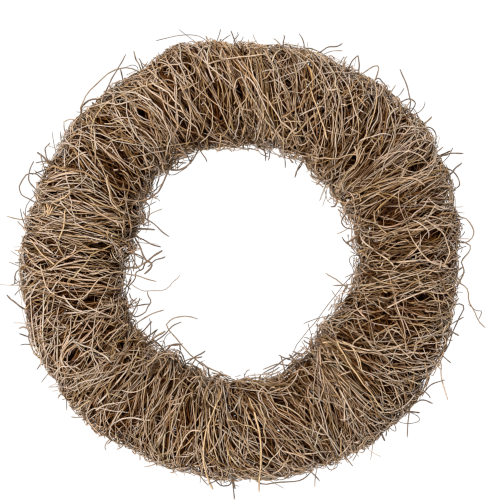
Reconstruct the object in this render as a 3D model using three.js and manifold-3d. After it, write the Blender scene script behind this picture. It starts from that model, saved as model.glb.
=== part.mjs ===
// A wreath base wound from thin vine roots. A loose rope of roots goes round a hoop of steel
// wire turn after turn, each turn beside the last, until the hoop is buried in a thick ring.
// Millimetres. The wreath lies on its back: z is up, and the origin is the middle of the ring
// on the surface that it lies on.

import * as THREE from "three";
import Module from "manifold-3d";

const wasm = await Module();
wasm.setup();

const TAU = 2 * Math.PI;
const { cos, sin } = Math;
const radians = THREE.MathUtils.degToRad;

// The wreath's own sizes
const BODY_DIAMETER = 300;
const HOLE_DIAMETER = 150;
const HOOP_HEIGHT = 28;
const TOP_RISE = 33;
const WIRE_DIAMETER = 4;
const WIRE_SIDES = 6;
const WIRE_SEGMENTS = 30;
const TURNS = 24;

// The roots: those that cover the body are drawn thicker than life, and the free ends are not
const ROOTS_PER_TURN = 7;
const ROOT_RELIEF = 2;
const TURN_BULGE = 2.4;
const CROSSING_ROOT_DIAMETER = 2.8;
const FREE_ROOT_DIAMETER = 2;
const ROOT_TIP_DIAMETER = 1.2;
const CLEARANCE = 0.3;
const BORE_EASE = 0.75;

// The ring is a hand-made circle: each edge wavers by [size in mm, waves round the ring, degrees]
const OUTER_WAVER = [[1.1, 2, 78], [1.3, 3, -159], [1.3, 4, 136], [0.8, 5, -169]];
const HOLE_WAVER = [[1.9, 1, 162], [2.4, 2, 125], [1.4, 3, 7], [2.1, 4, 74], [2.3, 5, -42]];

// How far the turns lean across the ring beyond what winding gives, [degrees of lean, waves round
// the ring, degrees], and how they bunch together, [turns, waves round the ring, degrees]
const LEAN = [[3, 1, 14], [6, 2, 152], [4, 4, -38], [4, 5, -37], [3, 6, -153], [3, 9, 40]];
const BUNCHING = [[0.12, 5, 20], [0.1, 8, 200]];

// Where each turn's free ends leave it, [from, to in degrees round the hoop], and how far they
// stand out, [least, most in mm]: one at the outer rim, one at the hole and one on top
const FREE_ENDS = [
  { place: [-35, 30], reach: [5, 11] },
  { place: [150, 205], reach: [5, 10] },
  { place: [40, 140], reach: [4, 8] },
];

// The free ends that reach furthest: [turn, degrees round the ring, distance out, height]
const FURTHEST_TIPS = [
  [0, -15.2, 167.7, 34],
  [5, -85.9, 154.6, 30],
  [11, 188.2, 160.6, 26],
  [17, 91.7, 154.6, 38],
];

const RING_RADIUS = (BODY_DIAMETER + HOLE_DIAMETER) / 4;
const HALF_WIDTH = (BODY_DIAMETER - HOLE_DIAMETER) / 4;
const BORE_RADIUS = WIRE_DIAMETER / 2 + BORE_EASE;

// Where a turn begins and ends, on the inner underside, and the two rows that the weight of
// the wreath presses flat. Degrees round the hoop: 0 is outwards, 90 up and 180 at the hole.
const SEAM = -135;
const PRESSED = [-97, -83];
const ROWS_OVER = 10;

// A repeatable stream of numbers from 0 to 1
function seeded(seed) {
  let state = seed;
  return () => {
    state = (state + 0x6d2b79f5) | 0;
    let mixed = Math.imul(state ^ (state >>> 15), 1 | state);
    mixed = (mixed + Math.imul(mixed ^ (mixed >>> 7), 61 | mixed)) ^ mixed;
    return ((mixed ^ (mixed >>> 14)) >>> 0) / 2 ** 32;
  };
}

function between(random, low, high) {
  return low + (high - low) * random();
}

function waver(waves, angle) {
  return waves.reduce((sum, [size, count, start]) => sum + size * cos(count * angle - radians(start)), 0);
}

// The winding: where on the ring the rope's edge is, after so many turns
function windingAngle(turns, turnAngle) {
  const even = (-TAU * turns) / TURNS;
  const straight = even + (TAU / TURNS) * waver(BUNCHING, even);
  const swing = (HALF_WIDTH / RING_RADIUS) * Math.tan(radians(waver(LEAN, straight)));
  return straight + swing * cos(turnAngle);
}

function onRing(ringAngle, reach, height) {
  return new THREE.Vector3(reach * cos(ringAngle), reach * sin(ringAngle), height);
}

// A point on the body, lifted so many millimetres off its skin
function bodyPoint(ringAngle, turnAngle, lift) {
  const outer = BODY_DIAMETER / 2 + waver(OUTER_WAVER, ringAngle);
  const inner = HOLE_DIAMETER / 2 + waver(HOLE_WAVER, ringAngle);
  const rise = sin(turnAngle) > 0 ? TOP_RISE : HOOP_HEIGHT;
  const reach = (outer + inner) / 2 + ((outer - inner) / 2 + lift) * cos(turnAngle);
  return onRing(ringAngle, reach, HOOP_HEIGHT + (rise + lift) * sin(turnAngle));
}

function borePoint(ringAngle, turnAngle) {
  const reach = RING_RADIUS + BORE_RADIUS * cos(turnAngle);
  return onRing(ringAngle, reach, HOOP_HEIGHT + BORE_RADIUS * sin(turnAngle));
}

// A point on one turn: share is 0 at its first edge and 1 at its last, degree is round the hoop
function turnPoint(number, share, degree, lift) {
  const turnAngle = radians(degree);
  const turns = number + share + (degree - SEAM) / 360;
  return bodyPoint(windingAngle(turns, turnAngle), turnAngle, lift);
}

function solidFrom(points, faces) {
  const vertProperties = new Float32Array(points.flatMap((p) => [p.x, p.y, p.z]));
  const mesh = new wasm.Mesh({ numProp: 3, vertProperties, triVerts: new Uint32Array(faces.flat()) });
  return new wasm.Manifold(mesh);
}

// The rows of points round the hoop that shape one turn, in degrees
function rowDegrees() {
  const last = SEAM + 360;
  const step = (last - PRESSED[1]) / ROWS_OVER;
  const over = Array.from({ length: ROWS_OVER }, (_, i) => PRESSED[1] + (i + 1) * step);
  return [SEAM, (SEAM + PRESSED[0]) / 2, ...PRESSED, ...over];
}

// How high each root's ridge stands and how it runs, for one turn
function ridgesOf(random) {
  const sway = between(random, 0, TAU);
  const roots = Array.from({ length: ROOTS_PER_TURN }, () => ({
    height: between(random, 0.5, 1.5),
    waves: random() < 0.5 ? 2 : 3,
    start: between(random, 0, TAU),
  }));
  const halfRoot = 1 / (2 * ROOTS_PER_TURN);
  return (column, degree) => {
    const share = column * halfRoot;
    const inside = sin(share * Math.PI);
    const free = sin(((degree - SEAM) / 360) * Math.PI);
    const turnAngle = radians(degree);
    const wander = 0.9 * halfRoot * inside * free * sin(2 * turnAngle + sway + 2 * share);
    const bulge = TURN_BULGE * (inside - 0.6);
    if (column % 2 === 0) return { share: share + wander, lift: bulge - 0.6 * ROOT_RELIEF };
    const { height, waves, start } = roots[(column - 1) / 2];
    const ridge = height * (0.6 + 0.4 * free * sin(waves * turnAngle + start));
    return { share: share + wander, lift: bulge + ROOT_RELIEF * ridge };
  };
}

// One turn of the rope: a ridge for each root that shows, and a bore that the wire goes through
function turnBody(number, random) {
  const ridge = ridgesOf(random);
  const columns = 2 * ROOTS_PER_TURN + 1;
  const degrees = rowDegrees();
  const points = [];
  degrees.forEach((degree, row) => {
    const turnAngle = radians(degree);
    const turns = number + (degree - SEAM) / 360;
    const endGap = { 0: CLEARANCE / 2, [degrees.length - 1]: -CLEARANCE / 2 }[row] ?? 0;
    const place = (share, sideGap, pointAt) => {
      const ringAngle = windingAngle(turns + share, turnAngle);
      const point = pointAt(ringAngle);
      point.addScaledVector(new THREE.Vector3(-sin(ringAngle), cos(ringAngle), 0), sideGap);
      point.addScaledVector(onRing(ringAngle, -sin(turnAngle), cos(turnAngle)), endGap);
      points.push(point);
    };
    const bore = (angle) => borePoint(angle, turnAngle);
    place(0, -CLEARANCE / 2, bore);
    for (let column = 0; column < columns; column++) {
      const { share, lift } = ridge(column, degree);
      const sideGap = { 0: -CLEARANCE / 2, [columns - 1]: CLEARANCE / 2 }[column] ?? 0;
      place(share, sideGap, (angle) => {
        const point = bodyPoint(angle, turnAngle, lift);
        if (PRESSED.includes(degree)) point.z = 0;
        return point;
      });
    }
    place(1, CLEARANCE / 2, bore);
    place(0.5, 0, bore);
  });
  return solidFrom(points, turnFaces(columns + 3, degrees.length));
}

// The faces of a turn: its skin row by row, its two sides, its bore and its two ends
function turnFaces(around, rows) {
  const faces = [];
  for (let row = 0; row + 1 < rows; row++) {
    for (let i = 0; i < around; i++) {
      const [a, b] = [row * around + i, row * around + ((i + 1) % around)];
      const [c, d] = [a + around, b + around];
      if (i === 0) faces.push([a, c, b], [b, c, d]);
      else faces.push([a, d, b], [a, c, d]);
    }
  }
  const middle = around - 1;
  const last = (rows - 1) * around;
  for (let i = 0; i + 1 < middle; i++) {
    faces.push([middle, i, i + 1], [last + middle, last + i + 1, last + i]);
  }
  return faces;
}

// One loose root along a smooth line through the points, three-sided, thinning to its tip
function looseRoot(points, thickness, tipThickness, steps) {
  const line = new THREE.CatmullRomCurve3(points);
  const { normals, binormals } = line.computeFrenetFrames(steps, false);
  const corners = [];
  line.getSpacedPoints(steps).forEach((centre, i) => {
    const radius = THREE.MathUtils.lerp(thickness, tipThickness, i / steps) / 2;
    for (let corner = 0; corner < 3; corner++) {
      const angle = (corner * TAU) / 3;
      const point = centre.clone().addScaledVector(normals[i], radius * cos(angle));
      corners.push(point.addScaledVector(binormals[i], radius * sin(angle)));
    }
  });
  const faces = [[0, 2, 1], [3 * steps, 3 * steps + 1, 3 * steps + 2]];
  for (let i = 0; i < steps; i++) {
    for (let corner = 0; corner < 3; corner++) {
      const [a, b] = [3 * i + corner, 3 * i + ((corner + 1) % 3)];
      faces.push([a, b, b + 3], [a, b + 3, a + 3]);
    }
  }
  return solidFrom(corners, faces);
}

// A root that crosses the turn on a slant, on top of the others, with both ends tucked in
function crossingRoot(number, random) {
  const from = between(random, -40, 0);
  const sweep = between(random, 150, 200);
  const [near, far] = random() < 0.5 ? [0.18, 0.8] : [0.82, 0.2];
  const points = Array.from({ length: 6 }, (_, i) => {
    const along = i / 5;
    const lift = i === 0 || i === 5 ? -4 : between(random, 3.5, 5);
    return turnPoint(number, THREE.MathUtils.lerp(near, far, along), from + sweep * along, lift);
  });
  return looseRoot(points, CROSSING_ROOT_DIAMETER, CROSSING_ROOT_DIAMETER * 0.8, 7);
}

// A root's free end: it leaves the turn near the given place and springs away in an arc
function freeEnd(number, degree, reach, random) {
  const share = between(random, 0.3, 0.7);
  const way = random() < 0.5 ? -1 : 1;
  const drift = between(random, 0.05, 0.25) * way;
  const turn = between(random, 10, 26) * (random() < 0.5 ? -1 : 1);
  const points = [[0, -5], [0.25, 0.5], [0.6, reach * 0.6], [1, reach]].map(([along, lift]) =>
    turnPoint(number, share + drift * along, degree + turn * along, lift));
  return looseRoot(points, FREE_ROOT_DIAMETER, ROOT_TIP_DIAMETER, 3);
}

// One of the free ends that reach furthest, from the middle of its turn to a known place
function furthestEnd(number, tipDegree, distance, height) {
  const root = turnPoint(number, 0.5, 0, -6);
  const skin = turnPoint(number, 0.5, 4, 1);
  const tip = onRing(radians(tipDegree), distance, height);
  const bend = skin.clone().lerp(tip, 0.5).add(new THREE.Vector3(0, 0, 2));
  return looseRoot([root, skin, bend, tip], FREE_ROOT_DIAMETER, ROOT_TIP_DIAMETER, 4);
}

// The one body that joining leaves: its largest piece, without any scrap cut loose
function wholeOf(solid) {
  return solid.decompose().reduce((best, one) => (one.volume() > best.volume() ? one : best));
}

function turnOfRoots(number) {
  const random = seeded(100 + number);
  const loose = [crossingRoot(number, random)];
  for (const { place, reach } of FREE_ENDS) {
    loose.push(freeEnd(number, between(random, ...place), between(random, ...reach), random));
  }
  for (const [turn, ...tip] of FURTHEST_TIPS) {
    if (turn === number) loose.push(furthestEnd(number, ...tip));
  }
  return wholeOf(loose.reduce((body, root) => body.add(root), turnBody(number, random)));
}

function geometryOf(solid) {
  const { vertProperties, triVerts } = solid.getMesh();
  const geometry = new THREE.BufferGeometry();
  geometry.setAttribute("position", new THREE.BufferAttribute(vertProperties, 3));
  geometry.setIndex(new THREE.BufferAttribute(triVerts, 1));
  geometry.computeVertexNormals();
  return geometry;
}

// The hoop: round steel wire, closed in a ring
function hoopGeometry() {
  const wireRadius = WIRE_DIAMETER / 2;
  const profile = Array.from({ length: WIRE_SIDES + 1 }, (_, i) => {
    const angle = (i % WIRE_SIDES) * (TAU / WIRE_SIDES);
    return new THREE.Vector2(RING_RADIUS + wireRadius * cos(angle), wireRadius * sin(angle));
  });
  return new THREE.LatheGeometry(profile, WIRE_SEGMENTS).rotateX(Math.PI / 2);
}

const rootMaterial = new THREE.MeshStandardMaterial({ color: 0x816954, roughness: 0.75, metalness: 0 });
const wireMaterial = new THREE.MeshStandardMaterial({ color: 0x55524e, roughness: 0.5, metalness: 1 });

const wreath = new THREE.Group();
for (let number = 0; number < TURNS; number++) {
  const turn = new THREE.Mesh(geometryOf(turnOfRoots(number)), rootMaterial);
  turn.name = `root_turn_${String(number + 1).padStart(2, "0")}`;
  wreath.add(turn);
}
const hoop = new THREE.Mesh(hoopGeometry(), wireMaterial);
hoop.name = "wire_hoop";
hoop.position.z = HOOP_HEIGHT;
wreath.add(hoop);

export default wreath;
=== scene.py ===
# A wreath base wound from thin vine roots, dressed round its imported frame.
# It lies on its back on a white table, and the camera looks straight down on it.

import math

import bpy
import numpy as np
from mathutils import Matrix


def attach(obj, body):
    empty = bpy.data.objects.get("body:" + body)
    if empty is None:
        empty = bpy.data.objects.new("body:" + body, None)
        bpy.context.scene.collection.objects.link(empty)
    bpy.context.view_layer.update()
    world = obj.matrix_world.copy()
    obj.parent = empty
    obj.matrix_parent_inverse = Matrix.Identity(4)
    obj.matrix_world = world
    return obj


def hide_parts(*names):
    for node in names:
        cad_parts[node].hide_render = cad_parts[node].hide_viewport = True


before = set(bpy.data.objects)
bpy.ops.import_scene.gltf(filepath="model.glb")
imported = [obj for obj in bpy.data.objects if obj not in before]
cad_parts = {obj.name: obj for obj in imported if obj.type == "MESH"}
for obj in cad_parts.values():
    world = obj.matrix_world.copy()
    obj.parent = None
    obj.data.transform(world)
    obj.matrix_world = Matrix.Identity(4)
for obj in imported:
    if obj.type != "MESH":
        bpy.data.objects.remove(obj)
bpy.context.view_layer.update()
bpy.ops.object.select_all(action="DESELECT")


# Dry mottling. Old wire and dry bark both turn blotchy, in patches that grow at several sizes.
# It is one shader group: the wire uses it for rust, and the roots for weathered bark.

def new_group(name, inputs, outputs):
    group = bpy.data.node_groups.new(name, "ShaderNodeTree")
    for label, kind, value in inputs:
        socket = group.interface.new_socket(label, in_out="INPUT", socket_type=kind)
        if value is not None:
            socket.default_value = value
    for label, kind in outputs:
        group.interface.new_socket(label, in_out="OUTPUT", socket_type=kind)
    return group, group.nodes.new("NodeGroupInput"), group.nodes.new("NodeGroupOutput")


def feed(tree, socket, value):
    """Sets a socket to a plain value, or links it to the output that makes its value."""
    if isinstance(value, bpy.types.NodeSocket):
        tree.links.new(value, socket)
    else:
        socket.default_value = value


def add_node(tree, kind, settings=None, **values):
    node = tree.nodes.new(kind)
    for name, value in (settings or {}).items():
        setattr(node, name, value)
    for name, value in values.items():
        feed(tree, node.inputs[name.replace("_", " ")], value)
    return node


def worked_out(tree, kind, operation, *parts):
    """What a maths node makes of its parts."""
    node = add_node(tree, kind, {"operation": operation})
    for socket, part in zip(node.inputs, parts):
        feed(tree, socket, part)
    return node.outputs[0]


mottling, group_in, group_out = new_group(
    "dry mottling",
    [("Vector", "NodeSocketVector", None), ("Patch Size", "NodeSocketFloat", 0.01),
     ("Contrast", "NodeSocketFloat", 1.0)],
    [("Mask", "NodeSocketFloat")])
per_metre = worked_out(mottling, "ShaderNodeMath", "DIVIDE", 1.0, group_in.outputs["Patch Size"])
patches = add_node(mottling, "ShaderNodeTexNoise", Detail=4.0, Roughness=0.6,
                   Vector=group_in.outputs["Vector"], Scale=per_metre)
centred = worked_out(mottling, "ShaderNodeMath", "SUBTRACT", patches.outputs["Fac"], 0.5)
sharper = worked_out(mottling, "ShaderNodeMath", "MULTIPLY_ADD", centred,
                     group_in.outputs["Contrast"], 0.5)
sharper.node.use_clamp = True
mottling.links.new(sharper, group_out.inputs["Mask"])


# The hoop. It is one closed ring of drawn steel wire, gone dull, with a bloom of rust.
# It keeps its solid from the frame, and the roots wound round it all but hide it.

WIRE_GREY = (0.12, 0.115, 0.11, 1)
WIRE_RUST = (0.16, 0.065, 0.03, 1)
WIRE_ROUGHNESS, WIRE_METAL = (0.4, 0.85), (1.0, 0.1)


def mixed(tree, share, first, second):
    node = add_node(tree, "ShaderNodeMix", {"data_type": "RGBA"})
    for number, part in ((0, share), (6, first), (7, second)):
        feed(tree, node.inputs[number], part)
    return node.outputs[2]


def ranged(tree, mask, low, high):
    return add_node(tree, "ShaderNodeMapRange", Value=mask, To_Min=low, To_Max=high).outputs[0]


wire = bpy.data.materials.new("drawn wire")
wire.use_nodes = True
tree = wire.node_tree
shader = tree.nodes["Principled BSDF"]
place = add_node(tree, "ShaderNodeTexCoord").outputs["Object"]
rust = add_node(tree, "ShaderNodeGroup", {"node_tree": mottling}, Vector=place, Patch_Size=0.006,
                Contrast=4.0).outputs["Mask"]
pits = add_node(tree, "ShaderNodeBump", Strength=0.4, Distance=0.0003, Height=rust)
feed(tree, shader.inputs["Base Color"], mixed(tree, rust, WIRE_GREY, WIRE_RUST))
feed(tree, shader.inputs["Roughness"], ranged(tree, rust, *WIRE_ROUGHNESS))
feed(tree, shader.inputs["Metallic"], ranged(tree, rust, *WIRE_METAL))
feed(tree, shader.inputs["Normal"], pits.outputs[0])
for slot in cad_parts["wire_hoop"].material_slots:
    slot.material = wire


# Root bark. The roots are dried vine roots: brown skin, tan where it has rubbed off. Some are
# weathered grey, some rusty or straw, and a few young ones golden. Fine fibres run along them. Each
# has its tone, painted shade and seed in the attribute "root", and its length and girth in the map
# "along". The painted shade darkens the parts of roots that lie deep or face into the body.

BARK_TONES = [
    (0.00, (0.085, 0.038, 0.009)),
    (0.15, (0.155, 0.080, 0.026)),
    (0.40, (0.330, 0.206, 0.100)),
    (0.65, (0.440, 0.322, 0.222)),
    (0.85, (0.430, 0.338, 0.258)),
    (1.00, (0.428, 0.348, 0.278)),
]
ROOT_TINTS = [
    (0.00, (0.32, 0.29, 0.28)),
    (0.02, (0.60, 0.60, 0.61)),
    (0.05, (0.90, 0.93, 0.94)),
    (0.15, (1.00, 1.00, 1.00)),
    (0.70, (1.03, 0.96, 0.95)),
    (0.80, (1.00, 0.94, 0.88)),
    (0.86, (0.97, 0.99, 0.88)),
    (0.95, (1.03, 0.94, 0.71)),
]
# The colour that full painted shade darkens the bark towards, for roots deep in the body.
DEEP_PAINTED_SHADE = (0.245, 0.107, 0.014, 1)
FIBRE_SPACING, FIBRE_STRETCH, FIBRE_CONTRAST = 0.0003, (0.05, 0.45, 1.0), 3.0
BARK_PATCH, PATCH_STRETCH, PATCH_CONTRAST = 0.007, (1.0, 0.6, 1.0), 2.2
WEATHERING = 0.30
FIBRE_STREAKS = (0.72, 1.22)
BARK_ROUGHNESS = (0.38, 0.65)
BARK_SHINE = 0.12


def mottled(tree, places, stretch, size, contrast):
    places = worked_out(tree, "ShaderNodeVectorMath", "MULTIPLY", places, stretch)
    return add_node(tree, "ShaderNodeGroup", {"node_tree": mottling}, Vector=places,
                    Patch_Size=size, Contrast=contrast).outputs["Mask"]


def colour_steps(tree, place, stops, blend):
    """The colour at a place from 0 to 1, on a ramp through stops that each have a place and colour."""
    ramp = add_node(tree, "ShaderNodeValToRGB")
    feed(tree, ramp.inputs[0], place)
    elements = ramp.color_ramp.elements
    for number, (place_on_ramp, colour) in enumerate(stops):
        stop = elements[number] if number < 2 else elements.new(place_on_ramp)
        stop.position = place_on_ramp
        stop.color = (*colour, 1)
    ramp.color_ramp.interpolation = blend
    return ramp.outputs["Color"]


bark = bpy.data.materials.new("vine root bark")
bark.use_nodes = True
tree = bark.node_tree
shader = tree.nodes["Principled BSDF"]
shader.inputs["Specular IOR Level"].default_value = BARK_SHINE
along = add_node(tree, "ShaderNodeUVMap", {"uv_map": "along"}).outputs[0]
own = add_node(tree, "ShaderNodeAttribute", {"attribute_name": "root"}).outputs["Color"]
tone, painted_shade_share, seed = add_node(tree, "ShaderNodeSeparateColor", Color=own).outputs
apart = add_node(tree, "ShaderNodeCombineXYZ", Z=seed).outputs[0]
shifted = worked_out(tree, "ShaderNodeVectorMath", "ADD", along, apart)
weathering = mottled(tree, shifted, PATCH_STRETCH, BARK_PATCH, PATCH_CONTRAST)
fibres = mottled(tree, shifted, FIBRE_STRETCH, FIBRE_SPACING, FIBRE_CONTRAST)

start_tone = worked_out(tree, "ShaderNodeMath", "SUBTRACT", tone, WEATHERING / 2)
varied = worked_out(tree, "ShaderNodeMath", "MULTIPLY_ADD", weathering, WEATHERING, start_tone)
plain = colour_steps(tree, varied, BARK_TONES, "LINEAR")
# Painted shade: the bark darkens towards the deep shade colour where a root lies deep or faces into the
# body.
painted_shade = mixed(tree, painted_shade_share, (1, 1, 1, 1), DEEP_PAINTED_SHADE)
with_painted_shade = worked_out(tree, "ShaderNodeVectorMath", "MULTIPLY", plain, painted_shade)
tint = colour_steps(tree, seed, ROOT_TINTS, "CONSTANT")
tinted = worked_out(tree, "ShaderNodeVectorMath", "MULTIPLY", with_painted_shade, tint)
streaked = add_node(tree, "ShaderNodeVectorMath", {"operation": "SCALE"}, Vector=tinted,
                    Scale=ranged(tree, fibres, *FIBRE_STREAKS))
relief = add_node(tree, "ShaderNodeBump", Strength=0.5, Distance=0.00015, Height=fibres)
feed(tree, shader.inputs["Base Color"], streaked.outputs[0])
feed(tree, shader.inputs["Roughness"], ranged(tree, fibres, *BARK_ROUGHNESS))
feed(tree, shader.inputs["Normal"], relief.outputs[0])


# The winding. Turn after turn of roots goes round the hoop, each turn beside the last, and
# the hand that wound it leaned and bunched them unevenly. Lengths here are millimetres.

MM = 0.001
HOOP_HEIGHT = 28
TOP_RISE = 33
OUTER_RADIUS = 150
HOLE_RADIUS = 75
TURNS = sum(name.startswith("root_turn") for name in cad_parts)
SEAM = -135
OUTER_WAVER = [(1.1, 2, 78), (1.3, 3, -159), (1.3, 4, 136), (0.8, 5, -169)]
HOLE_WAVER = [(2.2, 1, -175), (2.4, 2, 125), (1.4, 3, 7), (2.1, 4, 74), (2.3, 5, -42)]
LEAN = [(3, 1, 14), (6, 2, 152), (4, 4, -38), (4, 5, -37), (3, 6, -153), (3, 9, 40)]
BUNCHING = [(0.12, 5, 20), (0.1, 8, 200)]
TURN_BULGE = 2.0
BULGE_MIDDLE = 0.6
RIM_PACKING = 0.12
OUTER_SINK = 1.4
HOLE_SINK = 3.2
RING_RADIUS = (OUTER_RADIUS + HOLE_RADIUS) / 2
HALF_WIDTH = (OUTER_RADIUS - HOLE_RADIUS) / 2
TURN_WIDTH = math.tau * RING_RADIUS / TURNS
HALF_GIRTH = math.pi * (HALF_WIDTH + HOOP_HEIGHT / 2 + TOP_RISE / 2) / 2
OUTER_BULGES = [(4.2, 105, 5), (-2.4, 124, 8), (-2.0, 56, 5), (-1.8, 165, 6), (1.6, 224, 7),
                (-1.6, 354, 5), (-1.4, 88, 7)]
HOLE_BULGES = [(1.8, 145, 7), (2.0, 184, 11), (1.8, 225, 6), (1.8, 255, 6), (-2.8, 277, 8), (2.0, 308, 11),
               (-1.8, 105, 6), (1.1, 125, 5), (-1.2, 45, 6), (0.9, 66, 5), (1.1, 24, 5)]


def bulges(places, angle):
    """Single bulges of a rim, each given by its size, its bearing and its width in degrees."""
    bearing = np.degrees(angle)
    return sum(size * np.exp(-(((bearing - middle + 180) % 360 - 180) / width) ** 2)
               for size, middle, width in places)


def waver(waves, angle):
    return sum(size * np.cos(count * angle - math.radians(start)) for size, count, start in waves)


def winding_angle(turns, turn_angle):
    even = -math.tau * turns / TURNS
    straight = even + math.tau / TURNS * waver(BUNCHING, even)
    swing = HALF_WIDTH / RING_RADIUS * np.tan(np.radians(waver(LEAN, straight)))
    return straight + swing * np.cos(turn_angle)


def on_body(number, share, degree, lift):
    """Points on a turn: share runs across it from 0 to 1, degree runs round the hoop."""
    turn_angle = np.radians(degree)
    turns = number + share + (degree - SEAM) / 360
    angle = winding_angle(turns, turn_angle)
    sink = np.where(np.cos(turn_angle) > 0, OUTER_SINK, HOLE_SINK)
    lift = lift - (sink + RIM_PACKING * lift) * np.cos(turn_angle) ** 4
    lift = lift + TURN_BULGE * (np.abs(np.sin(math.pi * turns)) - BULGE_MIDDLE)
    outer = OUTER_RADIUS + waver(OUTER_WAVER, angle) + bulges(OUTER_BULGES, angle)
    inner = HOLE_RADIUS + waver(HOLE_WAVER, angle) + bulges(HOLE_BULGES, angle)
    rise = np.where(np.sin(turn_angle) > 0, TOP_RISE, HOOP_HEIGHT)
    reach = (outer + inner) / 2 + ((outer - inner) / 2 + lift) * np.cos(turn_angle)
    height = HOOP_HEIGHT + (rise + lift) * np.sin(turn_angle)
    return np.stack([reach * np.cos(angle), reach * np.sin(angle), height], axis=-1)


WIDENING = HALF_WIDTH / RING_RADIUS
OUTER_EASE = 0.43
TOP_EASE = 0.15
WANDER_WAVES = [(70, 0.5), (28, 0.8), (12, 0.6)]
WAVE_SPREAD = (0.7, 1.4)


def even_degree(way):
    """Spreads ways from 0 to 1 round the hoop, evenly by the length that each degree covers."""
    degree = np.linspace(0, 360, 121)
    turn_angle = np.radians(degree)
    covered = turn_angle + OUTER_EASE * np.sin(turn_angle) + TOP_EASE * (1 - np.cos(turn_angle))
    return np.interp(way, covered / math.tau, degree)


def wander(random, share, degree, heading, bend, length, steps, unrest):
    """Shares and degrees of lines that wander over the body, each given by its middle, its
    heading off the winding, its bend from end to end, its length, and how restless it is."""
    count = len(length)
    run = np.linspace(-0.5, 0.5, steps)
    turning = heading[:, None] + bend[:, None] * run
    for wave, size in WANDER_WAVES:
        phase = run * length[:, None] / (wave * random.uniform(*WAVE_SPREAD, (count, 1)))
        phase = math.tau * (phase + random.random((count, 1)))
        turning = turning + unrest * size * random.normal(0, 1, (count, 1)) * np.sin(phase)
    turning = np.radians(turning)
    onward = np.cumsum(np.cos(turning), axis=1) * length[:, None] / (steps - 1)
    aside = np.cumsum(np.sin(turning), axis=1) * length[:, None] / (steps - 1)
    onward -= onward.mean(axis=1, keepdims=True)
    aside -= aside.mean(axis=1, keepdims=True)
    degree = np.reshape(degree, (-1, 1)) + onward / HALF_GIRTH * 180
    local_width = TURN_WIDTH * (1 + WIDENING * np.cos(np.radians(degree)))
    return np.reshape(share, (-1, 1)) + aside / local_width, degree


def rolling(random, length, steps, wave, size):
    """A slow rise and fall along each line, in millimetres."""
    count = len(length)
    wave = wave * random.uniform(*WAVE_SPREAD, (count, 1))
    phase = np.linspace(0, 1, steps) * length[:, None] / wave
    height = size * random.normal(0, 1, (count, 1))
    return height * np.sin(math.tau * (phase + random.random((count, 1))))


# One bunch of roots as a batch: its lines, how thick each root is along its line, and the
# tone, painted shade and seed that its bark takes. A root is a tube of three or four sides, closed at
# both ends, because roots this thin only need to catch the light round their sides.

# Painted shade by depth: none above a small lift over the top of the body, full a few millimetres below
# it.
SKIN_LIFT = 0.2
FULL_SHADE_DEPTH = 3.4
# Painted shade on the sides of a root that face into the body or down; sides that face up are spared.
TURNED_IN_PAINTED_SHADE = 0.8
# The rims are paler; the outer slope gets painted light and the hole slope painted shade.
RIM_PALING = 0.11
SLOPE_PAINTED_LIGHT = 0.18
UPWARD_SHARE = 0.9


def ring_frames(lines):
    """Two directions square to each line, carried along it so that the tube doesn't twist."""
    ahead = np.gradient(lines, axis=1)
    ahead /= np.linalg.norm(ahead, axis=2, keepdims=True) + 1e-9
    across = np.empty_like(ahead)
    side = np.cross(ahead[:, 0], np.roll(ahead[:, 0], 1, axis=1) + (0.3, -0.2, 0.5))
    for step in range(lines.shape[1]):
        side = side - ahead[:, step] * np.sum(side * ahead[:, step], axis=1, keepdims=True)
        side = side / (np.linalg.norm(side, axis=1, keepdims=True) + 1e-9)
        across[:, step] = side
    return across, np.cross(ahead, across)


def tube_corners(lines, radii, sides):
    across, upward = ring_frames(lines)
    turn = (np.arange(sides) * math.tau / sides)[:, None]
    rings = across[:, :, None] * np.cos(turn) + upward[:, :, None] * np.sin(turn)
    return lines[:, :, None] + radii[:, :, None, None] * rings


def facing_out(lines, corners):
    """How far each corner of a tube faces out of the body, or up: 1 is straight, -1 is away."""
    hoop = lines[:, :, :2] * (RING_RADIUS / np.linalg.norm(lines[:, :, :2], axis=2, keepdims=True))
    outward = lines - np.concatenate([hoop, np.full_like(hoop[:, :, :1], HOOP_HEIGHT)], axis=2)
    outward /= np.linalg.norm(outward, axis=2, keepdims=True)
    around = corners - lines[:, :, None]
    around /= np.linalg.norm(around, axis=3, keepdims=True)
    return np.maximum(np.sum(around * outward[:, :, None], axis=3), UPWARD_SHARE * around[..., 2])


def tube_faces(steps, sides):
    """The step and side of each corner of the faces round a tube, then of its two end faces."""
    step, side = np.meshgrid(np.arange(steps - 1), np.arange(sides), indexing="ij")
    round_step = np.stack([step, step, step + 1, step + 1], axis=-1).reshape(-1, 4)
    round_side = np.stack([side, side + 1, side + 1, side], axis=-1).reshape(-1, 4)
    end_step = np.array([[0] * sides, [steps - 1] * sides])
    end_side = np.array([range(sides)[::-1], range(sides)])
    return (round_step, round_side), (end_step, end_side)


GIRTH = 4.0
BAKE_ROWS = 72
ROW_SPARE, STRIP_SPARE = 1.12, 1.02
STRIP_START, STRIP_FILL = 0.1, 0.78


def strip_places(lengths, rows):
    """Where each root's strip starts on a square sheet of rows, and how much root a row holds."""
    row_length = lengths.sum() / rows * ROW_SPARE + lengths.max() * 0.5
    starts, row, used = [], 0, 0.0
    for length in lengths:
        if used + length > row_length:
            row, used = row + 1, 0.0
        starts.append((used / row_length, row))
        used += length * STRIP_SPARE
    return np.array(starts), row_length, row + 1


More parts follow.
